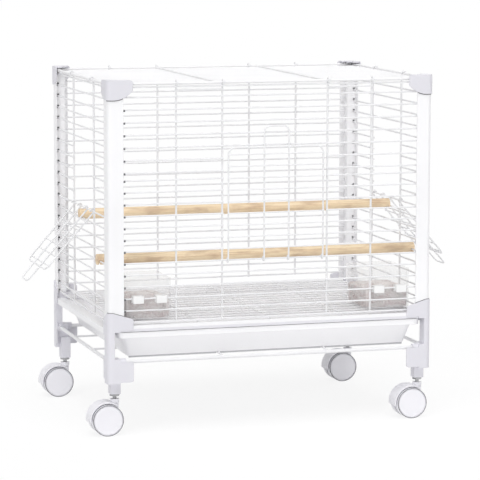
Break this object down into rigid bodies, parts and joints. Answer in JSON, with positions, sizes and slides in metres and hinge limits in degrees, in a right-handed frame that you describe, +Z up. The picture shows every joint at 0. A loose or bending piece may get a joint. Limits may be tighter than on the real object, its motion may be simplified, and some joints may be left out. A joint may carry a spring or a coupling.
{
  "type": "rolling bird cage",
  "caption": "Wire bird cage on a base with swivel casters, with a hinged front door, open side hatches, wooden perches, clip-on feeders and a slide-out litter tray.",
  "frame": {"origin": "on the floor, under the middle of the cage", "axes": "+X to the cage's right seen from the front, +Y to its back, +Z up"},
  "size_m": [0.6338, 0.3334, 0.49],
  "materials": {
    "coated_wire": "steel wire, glossy white powder coat",
    "coated_posts": "steel section, satin white powder coat",
    "corner_plastic": "moulded plastic, satin, pale lilac grey",
    "tray_plastic": "moulded plastic, semi gloss, pale lilac white",
    "clip_plastic": "moulded plastic, white",
    "caster_plastic": "moulded plastic, pale lilac grey",
    "perch_wood": "plain turned softwood",
    "clear_cup": "clear moulded plastic",
    "seed": "loose mixed seed",
    "bright_steel": "zinc plated"
  },
  "bodies": {
    "cage": {"post_front_left": "coated_posts", "post_front_right": "coated_posts", "post_back_left": "coated_posts", "post_back_right": "coated_posts", "cap_front_left": "corner_plastic", "cap_front_right": "corner_plastic", "cap_back_left": "corner_plastic", "cap_back_right": "corner_plastic", "bracket_front_left": "corner_plastic", "bracket_front_right": "corner_plastic", "bracket_back_left": "corner_plastic", "bracket_back_right": "corner_plastic", "front_panel": "coated_wire", "back_panel": "coated_wire", "left_panel": "coated_wire", "right_panel": "coated_wire", "roof_panel": "coated_wire", "floor_grid": "coated_wire", "rail_front": "coated_posts", "rail_back": "coated_posts", "rail_left": "coated_posts", "rail_right": "coated_posts", "tray_rack": "coated_wire", "perch_upper": "perch_wood", "perch_lower": "perch_wood", "stem_front_left": "bright_steel", "stem_front_right": "bright_steel", "stem_back_left": "bright_steel", "stem_back_right": "bright_steel"},
    "tray": {"tray": "tray_plastic"},
    "front_door": {"front_door": "coated_wire"},
    "left_hatch": {"left_hatch": "coated_wire"},
    "right_hatch": {"right_hatch": "coated_wire"},
    "feeder_left": {"feeder_cup_left": "clear_cup", "seed_left": "seed", "feeder_clips_left": "clip_plastic"},
    "feeder_right": {"feeder_cup_right": "clear_cup", "seed_right": "seed", "feeder_clips_right": "clip_plastic"},
    "swivel_front_left": {"hood_front_left": "caster_plastic", "axle_front_left": "bright_steel"},
    "wheel_front_left_a": {"wheel_front_left_a": "caster_plastic"},
    "wheel_front_left_b": {"wheel_front_left_b": "caster_plastic"},
    "swivel_front_right": {"hood_front_right": "caster_plastic", "axle_front_right": "bright_steel"},
    "wheel_front_right_a": {"wheel_front_right_a": "caster_plastic"},
    "wheel_front_right_b": {"wheel_front_right_b": "caster_plastic"},
    "swivel_back_left": {"hood_back_left": "caster_plastic", "axle_back_left": "bright_steel"},
    "wheel_back_left_a": {"wheel_back_left_a": "caster_plastic"},
    "wheel_back_left_b": {"wheel_back_left_b": "caster_plastic"},
    "swivel_back_right": {"hood_back_right": "caster_plastic", "axle_back_right": "bright_steel"},
    "wheel_back_right_a": {"wheel_back_right_a": "caster_plastic"},
    "wheel_back_right_b": {"wheel_back_right_b": "caster_plastic"}
  },
  "joints": [
    {"name": "front_door_hinge", "type": "hinge", "parent": "cage", "child": "front_door", "pos_m": [0, -0.1605, 0.2382], "axis": [1, 0, 0], "range_deg": [0, 115]},
    {"name": "left_hatch_hinge", "type": "hinge", "parent": "cage", "child": "left_hatch", "pos_m": [-0.2305, 0, 0.3], "axis": [0, 1, 0], "range_deg": [0, 138.6]},
    {"name": "right_hatch_hinge", "type": "hinge", "parent": "cage", "child": "right_hatch", "pos_m": [0.2305, 0, 0.3], "axis": [0, -1, 0], "range_deg": [0, 138.6]},
    {"name": "tray_slide", "type": "slide", "parent": "cage", "child": "tray", "axis": [0, -1, 0], "range_m": [0, 0.28]},
    {"name": "feeder_left_lift", "type": "slide", "parent": "cage", "child": "feeder_left", "axis": [0, 0, 1], "range_m": [0, 0.01]},
    {"name": "feeder_right_lift", "type": "slide", "parent": "cage", "child": "feeder_right", "axis": [0, 0, 1], "range_m": [0, 0.01]},
    {"name": "swivel_front_left_turn", "type": "hinge", "parent": "cage", "child": "swivel_front_left", "pos_m": [-0.223, -0.149, 0.05], "axis": [0, 0, 1], "continuous": true},
    {"name": "wheel_front_left_a_roll", "type": "hinge", "parent": "swivel_front_left", "child": "wheel_front_left_a", "pos_m": [-0.2355, -0.149, 0.022], "axis": [0, 1, 0], "continuous": true},
    {"name": "wheel_front_left_b_roll", "type": "hinge", "parent": "swivel_front_left", "child": "wheel_front_left_b", "pos_m": [-0.2355, -0.149, 0.022], "axis": [0, 1, 0], "continuous": true},
    {"name": "swivel_front_right_turn", "type": "hinge", "parent": "cage", "child": "swivel_front_right", "pos_m": [0.223, -0.149, 0.05], "axis": [0, 0, 1], "continuous": true},
    {"name": "wheel_front_right_a_roll", "type": "hinge", "parent": "swivel_front_right", "child": "wheel_front_right_a", "pos_m": [0.2105, -0.149, 0.022], "axis": [0, 1, 0], "continuous": true},
    {"name": "wheel_front_right_b_roll", "type": "hinge", "parent": "swivel_front_right", "child": "wheel_front_right_b", "pos_m": [0.2105, -0.149, 0.022], "axis": [0, 1, 0], "continuous": true},
    {"name": "swivel_back_left_turn", "type": "hinge", "parent": "cage", "child": "swivel_back_left", "pos_m": [-0.223, 0.149, 0.05], "axis": [0, 0, 1], "continuous": true},
    {"name": "wheel_back_left_a_roll", "type": "hinge", "parent": "swivel_back_left", "child": "wheel_back_left_a", "pos_m": [-0.2355, 0.149, 0.022], "axis": [0, 1, 0], "continuous": true},
    {"name": "wheel_back_left_b_roll", "type": "hinge", "parent": "swivel_back_left", "child": "wheel_back_left_b", "pos_m": [-0.2355, 0.149, 0.022], "axis": [0, 1, 0], "continuous": true},
    {"name": "swivel_back_right_turn", "type": "hinge", "parent": "cage", "child": "swivel_back_right", "pos_m": [0.223, 0.149, 0.05], "axis": [0, 0, 1], "continuous": true},
    {"name": "wheel_back_right_a_roll", "type": "hinge", "parent": "swivel_back_right", "child": "wheel_back_right_a", "pos_m": [0.2105, 0.149, 0.022], "axis": [0, 1, 0], "continuous": true},
    {"name": "wheel_back_right_b_roll", "type": "hinge", "parent": "swivel_back_right", "child": "wheel_back_right_b", "pos_m": [0.2105, 0.149, 0.022], "axis": [0, 1, 0], "continuous": true}
  ]
}
